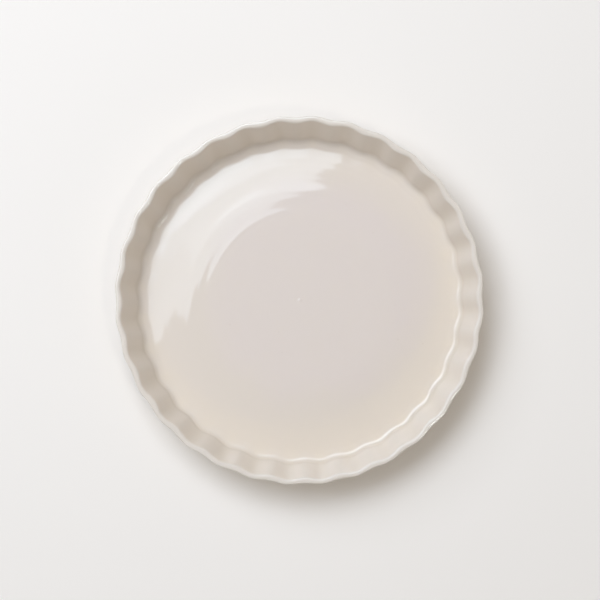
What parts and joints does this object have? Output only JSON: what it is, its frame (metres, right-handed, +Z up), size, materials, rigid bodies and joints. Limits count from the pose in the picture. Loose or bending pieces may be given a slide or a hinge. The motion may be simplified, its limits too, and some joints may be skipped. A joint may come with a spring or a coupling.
{
  "type": "fluted quiche dish",
  "caption": "Round shallow baking dish in ivory glazed ceramic, with a fluted, outward-leaning wall, a rounded rim, a gently raised floor and a bare clay foot ring.",
  "frame": {"origin": "on the axis of the dish, in the plane that its foot ring stands on", "axes": "+Z up the axis of the dish, towards its open side; +X through the crest of one flute; +Y by the right-hand rule"},
  "size_m": [0.28, 0.28, 0.038],
  "materials": {
    "ivory_glaze": "gloss ivory glaze, bare clay on the foot ring"
  },
  "bodies": {
    "root": {"dish": "ivory_glaze"}
  },
  "joints": []
}
